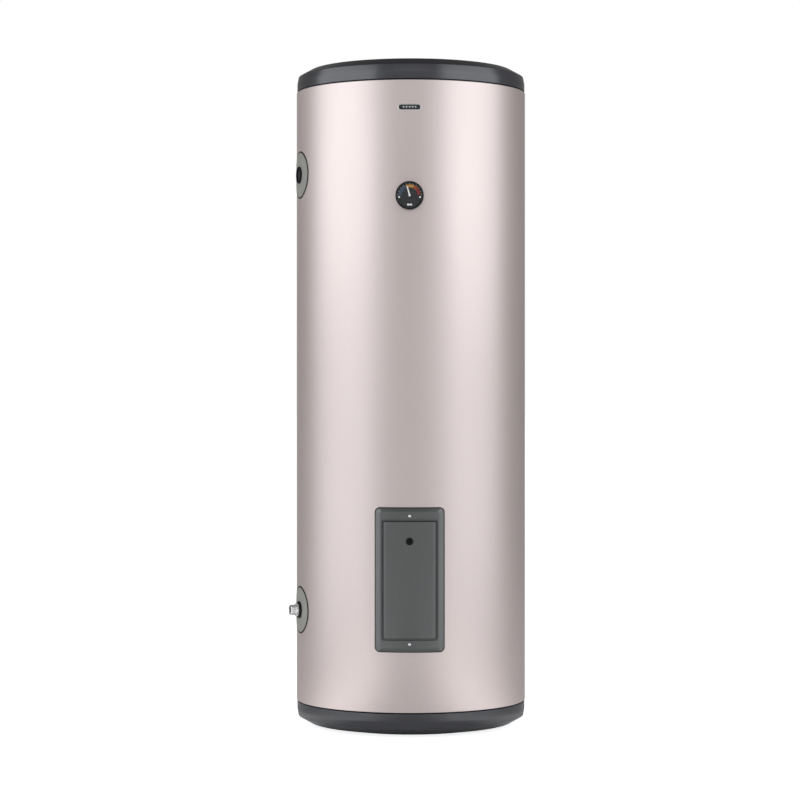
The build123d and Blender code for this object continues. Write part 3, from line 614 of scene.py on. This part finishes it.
def make_studio():
    bpy.context.scene.view_settings.view_transform = "Standard"
    make_world()
    make_floor()
    softbox("left_tall", -68, 0.03, 2.95, 3.4, 0.62)
    softbox("right_tall", 62, 0.03, 2.95, 3.0, 0.6)
    softbox("left_upper", -67, 1.3, 3.4, 3.2, 0.82)
    softbox("right_upper", 61, 1.3, 3.4, 2.9, 0.8)
    softbox("left_low", -66, 0.03, 0.5, 2.6, 0.85)
    softbox("right_low", 60, 0.03, 0.5, 2.4, 0.75)
    area_light("front_fill", (0, -3.4, 2.9), (0, 0, 0.9), (2.0, 1.0), 2)


# ---- jacket -------------------------------------------------------------------------------------

WALL = 0.8


def jacket(materials):
    inner = JACKET_R - WALL
    profile = softened(
        [
            (inner, JACKET_LOW + 2.5, 0.6),
            (inner - 1.2, JACKET_LOW + 0.6, 0.3),
            (inner - 1.2, JACKET_LOW, 0.1),
            (JACKET_R, JACKET_LOW, 2.4),
            (JACKET_R, JACKET_HIGH, 2.4),
            (inner - 1.2, JACKET_HIGH, 0.1),
            (inner - 1.2, JACKET_HIGH - 0.6, 0.3),
            (inner, JACKET_HIGH - 2.5, 0.6),
        ],
        steps=4,
    )
    shell = lathe("jacket_shell", tank_axis, profile, 320)
    cutters = [plug(flat(p), 50, 250, 340) for p in (HOT, COLD, DRAIN, RELIEF)]
    cutters.append(plug(flat(GAUGE), 31, 250, 340))
    opening = loft("cutter", flat(ACCESS), [(150, 300, 6, 250), (150, 300, 6, 340)])
    cut(shell, opening, *cutters)
    piece(shell, materials["jacket_paint"], replaces=["outer_jacket"])

    half, crown = 7.0, 0.9
    rows = []
    for x, h in ((-half, -0.1), (-half, 0.5), (-half + 0.6, crown), (-1.0, crown), (-0.7, 0.3),
                 (0.0, 0.3), (0.3, crown), (half - 0.6, crown), (half, 0.5), (half, -0.1)):
        rows.append([wrapped((180, 0))(x, z, h) for z in (JACKET_LOW + 3, JACKET_HIGH - 3)])
    across = [list(column) for column in zip(*rows)]
    seam = skin("jacket_lock_seam", across)
    piece(seam, materials["jacket_paint"], slot="jacket_paint")


# ---- end covers ---------------------------------------------------------------------------------


COVER_WALL = 2.5


def end_cover(name, seam, rim, panel_drop, hole):
    """A cover from its seam to its flat end; both are heights, so a base cover runs down.

    Its end is flat, or has a panel set down inside the rim by panel_drop.
    """
    up = 1 if rim > seam else -1
    tall = abs(rim - seam)
    panel = tall - panel_drop
    step_down, step_up = [], []
    if panel_drop:
        step_down = [(256, tall, 1.5), (250, panel, 2.5)]
        step_up = [(250 - COVER_WALL, panel - COVER_WALL, 2)]
    outer = [
        (COVER_R, 3.2, 0.6),
        (COVER_R, 24, 30),
        (295.5, 41, 2.2),
        (265, tall, 2.5),
        *step_down,
        (hole, panel, 0.6),
        (hole, panel - COVER_WALL, 0.6),
        *step_up,
        (264, tall - COVER_WALL, 2),
        (293, 39, 2),
        (COVER_R - COVER_WALL, 23, 30),
        (COVER_R - 3.1, 6, 2),
        (COVER_R - 3.1, -12, 0.8),
        (COVER_R - 0.6, -12, 0.8),
        (COVER_R - 0.6, -0.4, 0.3),
        (COVER_R - 2.7, -0.4, 0.2),
        (COVER_R - 2.7, 3.0, 0.2),
    ]
    profile = [(r, seam + up * h) for r, h in softened(outer, 6)]
    return lathe(name, tank_axis, profile, 320, angle=40)


def seam_shade_ring(name, seam, up, materials):
    """A black ring in the groove between the jacket and a cover: painted shadow, a dark thing put in the seam gap
    to darken it.
    """
    rows = [(COVER_R - 2.6, -0.3), (COVER_R - 2.6, 2.9), (COVER_R - 1.9, 2.9, 0.4),
            (COVER_R - 1.4, 1.3, 0.9), (COVER_R - 1.9, -0.3, 0.4)]
    ring = [(r, seam + up * h) for r, h in softened(rows, 4)]
    piece(lathe(name, tank_axis, ring, 320), materials["black_rubber"], slot="black_rubber")


def covers(materials):
    # Black rings in both seams: painted shadow in the seam gaps.
    seam_shade_ring("top_seam_shade_ring", JACKET_HIGH, 1, materials)
    seam_shade_ring("base_seam_shade_ring", JACKET_LOW, -1, materials)
    top = end_cover("top_cover_shell", JACKET_HIGH, TOP_HIGH, 5.0, 42.0)
    piece(top, materials["end_cover_plastic"], replaces=["top_cover"])
    base = end_cover("base_cover_shell", JACKET_LOW, BASE_LOW, 0.0, 20.0)
    for angle in (60, 180, 300):
        a = math.radians(angle)
        x, y = 185 * math.sin(a), -185 * math.cos(a)
        hole = lathe(
            "cutter", lambda u, v, z: Vector((x + u, y + v, z)) * MM, [(33, 0), (33, 30)], 64, False
        )
        cut(base, hole, angle=40)
    piece(base, materials["end_cover_plastic"], replaces=["base_cover"])


# ---- ports --------------------------------------------------------------------------------------


def ports(materials):
    disc = softened(
        [
            (20.6, 0.15),
            (20.6, 2.0, 0.5),
            (26.0, 2.0, 1.0),
            (28.0, 1.5, 1.0),
            (50.0, 1.5, 1.0),
            (52.0, 2.2, 0.8),
            (57.0, 2.2, 0.8),
            (58.0, 1.4, 0.4),
            (58.0, 0.15),
        ],
        4,
    )
    # A black bead round each escutcheon's edge: painted shadow, a dark ring standing in for the shade of the gap
    # at its edge.
    bead = softened(
        [(57.9, 0.12), (57.9, 1.2, 0.3), (59.2, 2.0, 0.6), (60.6, 1.9, 0.8), (61.4, 0.12)], 4
    )
    ring = softened(
        [
            (17.1, 297.0),
            (17.1, 306.5, 0.8),
            (20.6, 306.5, 0.8),
            (22.0, 304.9, 0.9),
            (22.0, 303.4, 0.3),
            (20.3, 303.3),
            (20.3, 298.7),
            (22.4, 298.6, 0.4),
            (22.4, 296.2, 0.4),
            (17.1, 296.2),
        ],
        4,
    )
    for name, place in (("hot", HOT), ("cold", COLD), ("relief", RELIEF), ("drain", DRAIN)):
        plate = lathe(f"{name}_escutcheon", wrapped(place), disc, 128)
        piece(plate, materials["escutcheon_plastic"], replaces=["port_escutcheons"])
        # The black bead is painted shadow at the escutcheon's edge.
        edge_shade_ring = lathe(f"{name}_escutcheon_bead", wrapped(place), bead, 128)
        piece(edge_shade_ring, materials["black_rubber"], slot="black_rubber")
        collar = lathe(f"{name}_grommet", flat(place), ring, 96)
        piece(collar, materials["black_rubber"], replaces=["port_grommets"])

    bore = thread_rings(flat(HOT), 12.04, 11.1, 284.5, 301.4)
    outer = [[flat(HOT)(x, y, d) for x, y in circle(12.05, 72)] for d in (301.4, 284.5)]
    insert = skin("hot_outlet_thread", bore + outer, looped=True)
    piece(insert, materials["tank_steel"], slot="tank_steel")
    nipple(materials)


def hexed(where, across_flats, start, end, bore, count=120):
    """Rings of a chamfered hexagon, from its start outwards, with a bore's radius last."""
    rings = []
    for d, back in ((start, 0.9), (start + 1.2, 0.0), (end - 1.2, 0.0), (end, 0.9)):
        limit = across_flats / 2 * 1.13 - back * 1.6
        ring = []
        for k in range(count):
            a = math.tau * k / count
            r = min(hexagon_r(a, across_flats), limit)
            ring.append(where(r * math.cos(a), r * math.sin(a), d))
        rings.append(ring)
    rings.append([where(x, y, end) for x, y in circle(bore, count)])
    rings.insert(0, [where(x, y, start) for x, y in circle(bore, count)])
    return rings


def nipple(materials):
    """The cold inlet's plated nipple: hexagon, real thread, bore."""
    where = flat(COLD)
    nut = skin("nut", hexed(where, 32, 306.7, 312.6, 12.5), looped=True, angle=25)
    screw = thread_rings(where, 12.05, 13.2, 312.4, 327.4)
    ends = [(12.05, 328.0), (10.2, 328.0), (9.0, 327.2), (9.0, 290.0), (11.9, 290.0),
            (11.9, 302.2), (13.9, 302.4), (13.9, 312.4)]
    for r, d in ends:
        screw.append([where(x, y, d) for x, y in circle(r, 72)])
    stem = skin("stem", screw, looped=True, angle=35)
    piece(joined("cold_inlet_nipple_threaded", nut, stem), materials["chrome_plate"],
          replaces=["cold_inlet_nipple"])


# ---- relief valve spring ------------------------------------------------------------------------

SPRING_TURNS = 6
TURN_STEPS = 24
SPRING_LONG = 52.0  # between the middles of its end turns
COIL_R = 7.8
WIRE_R = 1.3
WIRE_SIDES = 10


def relief_spring(materials):
    """The relief valve's coil spring, built at one length; the real spring shortens as the stem lifts its disc."""
    out = axes(RELIEF[0])[1]
    cad = bpy.data.objects["relief_valve_spring"]
    along = [(cad.matrix_world @ v.co).dot(out) / MM for v in cad.data.vertices]
    middle = (min(along) + max(along)) / 2
    where = flat(RELIEF)
    rings = []
    for i in range(SPRING_TURNS * TURN_STEPS + 1):
        turn = math.tau * i / TURN_STEPS
        d = middle + SPRING_LONG * (i / (SPRING_TURNS * TURN_STEPS) - 0.5)
        ring = []
        for k in range(WIRE_SIDES):
            a = math.tau * k / WIRE_SIDES
            r = COIL_R + WIRE_R * math.cos(a)
            height = d + WIRE_R * math.sin(a)
            ring.append(where(r * math.cos(turn), r * math.sin(turn), height))
        rings.append(ring)
    spring = skin("relief_valve_coil", rings)
    piece(spring, materials["stainless_steel"], replaces=["relief_valve_spring"])
    anchor = tuple(where(0, 0, middle + SPRING_LONG / 2))
    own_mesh(spring)


# ---- thermometer --------------------------------------------------------------------------------

DIAL_FACE = 303.6
SCALE_END = 86.0  # degrees from straight up, to either side
END_MARK = 99  # degrees from straight up to the end dots


def arc_band(name, r_in, r_out, start, end, d, thick, material):
    """A flat printed arc on the dial; angles are clockwise from straight up."""
    where = flat(GAUGE)
    steps = max(3, int(abs(end - start) / 3))
    rings = []
    for i in range(steps + 1):
        a = math.radians(start + (end - start) * i / steps)
        s, c = math.sin(a), math.cos(a)
        rings.append([
            where(r_in * s, r_in * c, d),
            where(r_out * s, r_out * c, d),
            where(r_out * s, r_out * c, d + thick),
            where(r_in * s, r_in * c, d + thick),
        ])
    return piece(skin(name, rings), material, slot="dial_paint")


def dial_text(name, words, size, x, y, material):
    """Flat generic figures on the dial."""
    data = bpy.data.curves.new(name, "FONT")
    data.body = words
    data.size = size * MM
    data.align_x = "CENTER"
    data.align_y = "CENTER"
    data.extrude = 0.04 * MM
    data.offset = 0.06 * MM
    text = bpy.data.objects.new(name, data)
    text.location = flat(GAUGE)(x, y, DIAL_FACE + 0.14)
    text.rotation_euler = (math.pi / 2, 0, 0)
    bpy.context.scene.collection.objects.link(text)
    bpy.context.view_layer.update()
    graph = bpy.context.evaluated_depsgraph_get()
    mesh = bpy.data.meshes.new_from_object(text.evaluated_get(graph))
    mesh.transform(text.matrix_world)
    solid = bpy.data.objects.new(name, mesh)
    bpy.context.scene.collection.objects.link(solid)
    bpy.data.objects.remove(text)
    piece(solid, material, slot="dial_paint")


def thermometer(materials):
    where = flat(GAUGE)
    bezel = softened(
        [
            (35.5, 305.15, 0.2),
            (35.5, 309.0, 1.0),
            (34.6, 310.0, 0.7),
            (33.6, 310.0, 0.5),
            (32.6, 309.15, 0.3),
            (33.4, 309.1),
            (33.4, 305.15, 0.2),
        ],
        5,
    )
    piece(lathe("thermometer_rim", where, bezel, 128), materials["black_plastic"],
          replaces=["thermometer_bezel"])

    lens = [(0.01, 307.4), (33.1, 307.4), (33.2, 307.5), (33.2, 308.6)]
    for t in (0.02, 0.3, 0.6, 0.8, 0.999):
        lens.append((33.2 * (1 - t), 308.75 + 0.3 * (1 - (1 - t) ** 2)))
    piece(lathe("thermometer_glass", where, lens, 96, looped=False), materials["clear_lens"],
          replaces=["thermometer_lens"])

    bands = (
        ("blue", -SCALE_END, -22, "blue_print"),
        ("yellow", -20, 25, "yellow_print"),
        ("orange", 26, 50, "orange_print"),
        ("red", 51, SCALE_END, "red_print"),
    )
    for name, start, end, colour in bands:
        arc_band(f"dial_{name}_arc", 20.0, 27.8, start, end, DIAL_FACE + 0.02, 0.1,
                 materials[colour])
    # The white marks use the glowing pointer paint, so they carry a painted glow too.
    white = materials["pointer_paint"]
    for i in range(11):
        a = SCALE_END * (i / 5 - 1)
        arc_band(f"dial_tick_{i}", 28.6, 30.4 if i % 5 else 31.2, a - 0.6, a + 0.6,
                 DIAL_FACE + 0.02, 0.16, white)
    for side in (-1, 1):
        a = math.radians(END_MARK * side)
        spot = (26.6 * math.sin(a), 26.6 * math.cos(a))
        dot = loft(f"dial_end_mark_{'low' if side < 0 else 'high'}",
                   lambda x, y, d: where(spot[0] + x, spot[1] + y, d),
                   [(4.4, 4.4, 2.15, DIAL_FACE + 0.02), (4.4, 4.4, 2.15, DIAL_FACE + 0.16)])
        piece(dot, white, slot="pointer_paint")
    plate = loft("dial_unit_plate", lambda x, y, d: where(x, y - 23.0, d),
                 [(12.4, 4.4, 1.0, DIAL_FACE + 0.02), (12.4, 4.4, 1.0, DIAL_FACE + 0.12)])
    piece(plate, white, slot="pointer_paint")
    dial_text("dial_unit", "°C", 3.6, 0, -23.0, materials["badge_enamel"])

    pointer = thermometer_pointer()
    piece(pointer, materials["pointer_paint"], body="pointer", replaces=["thermometer_pointer"])
    cap = lathe("pointer_cap", where, softened(
        [(0.01, 305.55), (2.6, 305.55, 0.1), (2.6, 306.3, 0.6), (1.4, 306.7, 0.6), (0.01, 306.7)], 4
    ), 48, looped=False)
    piece(cap, materials["pointer_paint"], body="pointer", slot="pointer_paint")


def thermometer_pointer():
    """A tapered blade with a rounded ridge, pointing where the CAD pointer does."""
    low, high = box_mm("thermometer_pointer")
    tilt = math.atan2(low[0] + high[0], high[2] + low[2] - 2 * GAUGE[1])
    where = flat(GAUGE)
    rings = []
    for along, half in (
        (-2.2, 0.9), (-1.6, 1.5), (0, 1.8), (10, 1.6), (20, 1.3), (23.0, 1.1), (24.0, 0.3)
    ):
        ring = []
        for across, up in ((-1, 0.0), (-0.5, 0.42), (0, 0.5), (0.5, 0.42), (1, 0.0), (0, -0.02)):
            x = across * half * math.cos(tilt) + along * math.sin(tilt)
            y = -across * half * math.sin(tilt) + along * math.cos(tilt)
            ring.append(where(x, y, 305.0 + up))
        rings.append(ring)
    return skin("thermometer_needle", rings, angle=50)


# ---- access cover -------------------------------------------------------------------------------

SCREW_RISE = 160.6


def access_cover(materials):
    """A moulded cover: bevelled rim, two ledges, and a raised panel set off by a groove."""
    where = wrapped(ACCESS)
    rows = [
        (158, 346, 8, 1.6),
        (171.2, 359.2, 11.8, 1.6),
        (172, 360, 12, 2.2),
        (172, 360, 12, 3.6),
        (171.4, 359.4, 11.8, 4.3),
        (169.6, 357.6, 11, 5.0),
        (153.5, 344.0, 6.0, 8.3),
        (151.5, 342.4, 5.4, 8.8),
        (149.5, 340.6, 4.8, 8.9),
        (145.0, 325.0, 5.0, 8.9),
        (140.6, 303.0, 5.0, 8.9),
        (139.8, 302.2, 4.8, 8.6),
        (138.8, 301.2, 4.6, 5.4),
        (134.0, 296.4, 4.4, 5.4),
        (133.2, 295.6, 4.4, 6.4),
        (130.6, 292.8, 5.2, 13.4),
        (129.4, 291.6, 5.0, 14.7),
        (127.0, 289.4, 4.4, 15.0),
        (112.0, 272.0, 4.0, 15.0),
        (60.0, 200.0, 3.0, 15.0),
        (8.0, 120.0, 2.0, 15.0),
    ]
    inner = [
        (8.0, 120.0, 2.0, 12.5),
        (60.0, 200.0, 3.0, 12.5),
        (122.0, 284.0, 4.0, 12.5),
        (126.0, 288.0, 4.0, 11.0),
        (129.0, 291.0, 4.0, 3.0),
        (144.0, 306.0, 5.0, 3.0),
        (148.0, 338.0, 6.0, 6.2),
        (158.0, 346.0, 8.0, 4.6),
    ]
    cover = loft("access_cover_moulding", where, inner + rows, angle=24, side=24)
    cutters = [plug(flat(CABLE), 8, 296, 330)]
    for side in (-1, 1):
        spot = (0.0, ACCESS[1] + side * SCREW_RISE)
        cutters += [plug(flat(spot), 4.8, 307.3, 330), plug(flat(spot), 2.3, 290, 308)]
    cut(cover, *cutters, angle=24)
    piece(cover, materials["access_cover_plastic"], replaces=["access_cover"])
    # A black rim round the cover: painted shade, standing in for the dark shaded outline at the cover's edge.
    lip = [
        (166, 354, 10, 0.12), (166, 354, 10, 1.5), (172.2, 360.2, 12, 1.5), (172.4, 360.4, 12, 2.4),
        (174.2, 362.2, 12.6, 2.5), (175.6, 363.6, 13, 1.8), (176, 364, 13, 0.8),
        (176, 364, 13, 0.12),
    ]
    edge_shade_ring = loft("access_cover_lip", where, lip, looped=True, side=24)
    piece(edge_shade_ring, materials["black_rubber"], slot="black_rubber")
    for side in (-1, 1):
        cover_screw(f"cover_screw_{'lower' if side < 0 else 'upper'}", side, materials)

    ring = softened(
        [
            (5.5, 310.4, 0.3), (5.5, 317.2, 0.8), (7.6, 317.2, 0.8), (9.5, 316.0, 0.8),
            (9.5, 315.08, 0.2), (7.9, 315.06), (7.9, 312.2), (9.5, 312.15, 0.2), (9.5, 310.4, 0.5),
        ],
        4,
    )
    piece(lathe("cable_grommet_ring", flat(CABLE), ring, 64), materials["black_rubber"],
          replaces=["cable_grommet"])
    web = softened([(1.3, 313.6), (1.3, 314.3, 0.2), (5.55, 315.8), (5.55, 314.9)], 3)
    piece(lathe("cable_grommet_web", flat(CABLE), web, 64), materials["black_rubber"],
          slot="black_rubber")


def cover_screw(name, side, materials):
    """A pan-head screw with a cross recess."""
    spot = flat((0.0, ACCESS[1] + side * SCREW_RISE))
    head = softened(
        [
            (0.01, 309.9), (1.5, 309.85, 0.5), (3.4, 309.4, 1.2), (4.0, 308.4, 0.5),
            (4.0, 307.5, 0.2), (2.0, 307.45), (2.0, 292.5, 0.3), (1.2, 291.2), (0.01, 291.2),
        ],
        4,
        closed=False,
    )
    screw = lathe(name, spot, head, 64, looped=False)
    cutters = []
    for w, h in ((4.4, 0.9), (0.9, 4.4)):
        foot = (w * 0.5 if w > h else w, h * 0.5 if h > w else h, 0.1, 308.3)
        rows = [foot, (w, h, 0.2, 309.0), (w, h, 0.2, 312)]
        cutters.append(loft("cutter", spot, rows, count=3))
    cut(screw, *cutters, angle=35)
    piece(screw, materials["chrome_plate"], replaces=["access_cover_screws"])


# ---- badge --------------------------------------------------------------------------------------


def badge(materials):
    """A plain pill-shaped badge: bright rim, dark face, and a row of raised dots."""
    where = wrapped(BADGE)
    rim = [
        (57.4, 14.4, 7.1, 0.05), (58, 15, 7.4, 0.3), (58, 15, 7.4, 0.8), (57.2, 14.2, 7.0, 1.15),
        (55.8, 12.8, 6.3, 1.15), (55.2, 12.2, 6.0, 0.9), (55.2, 12.2, 6.0, 0.5),
        (54, 11, 5.4, 0.05),
    ]
    piece(loft("badge_rim", where, rim, looped=True, side=16), materials["badge_metal"],
          replaces=["name_badge"])
    face = [
        (54.9, 11.9, 5.9, 0.4), (54.9, 11.9, 5.9, 0.8), (54.1, 11.1, 5.5, 0.95), (20, 4, 1.9, 0.98),
    ]
    piece(loft("badge_face", where, face, side=16), materials["badge_enamel"], slot="black_plastic")
    for i, x in enumerate((-15, -7.5, 0, 7.5, 15)):
        rows = [(4.2, 4.2, 2.0, 0.85), (4.2, 4.2, 2.0, 1.1), (3.2, 3.2, 1.5, 1.2)]
        dot = loft(f"badge_dot_{i}", lambda u, v, h: where(x + u, v, h), rows, count=4)
        piece(dot, materials["badge_metal"], slot="badge_metal")


# ---- carried-over CAD nodes ---------------------------------------------------------------------


def finish_cad_nodes(materials):
    for name, obj in NODES.items():
        obj.data.materials.clear()
        obj.data.materials.append(materials[SLOT_OF[name]])


def main():
    make_camera()
    make_studio()
    materials = make_materials()
    finish_cad_nodes(materials)
    jacket(materials)
    covers(materials)
    ports(materials)
    relief_spring(materials)
    thermometer(materials)
    access_cover(materials)
    badge(materials)


main()
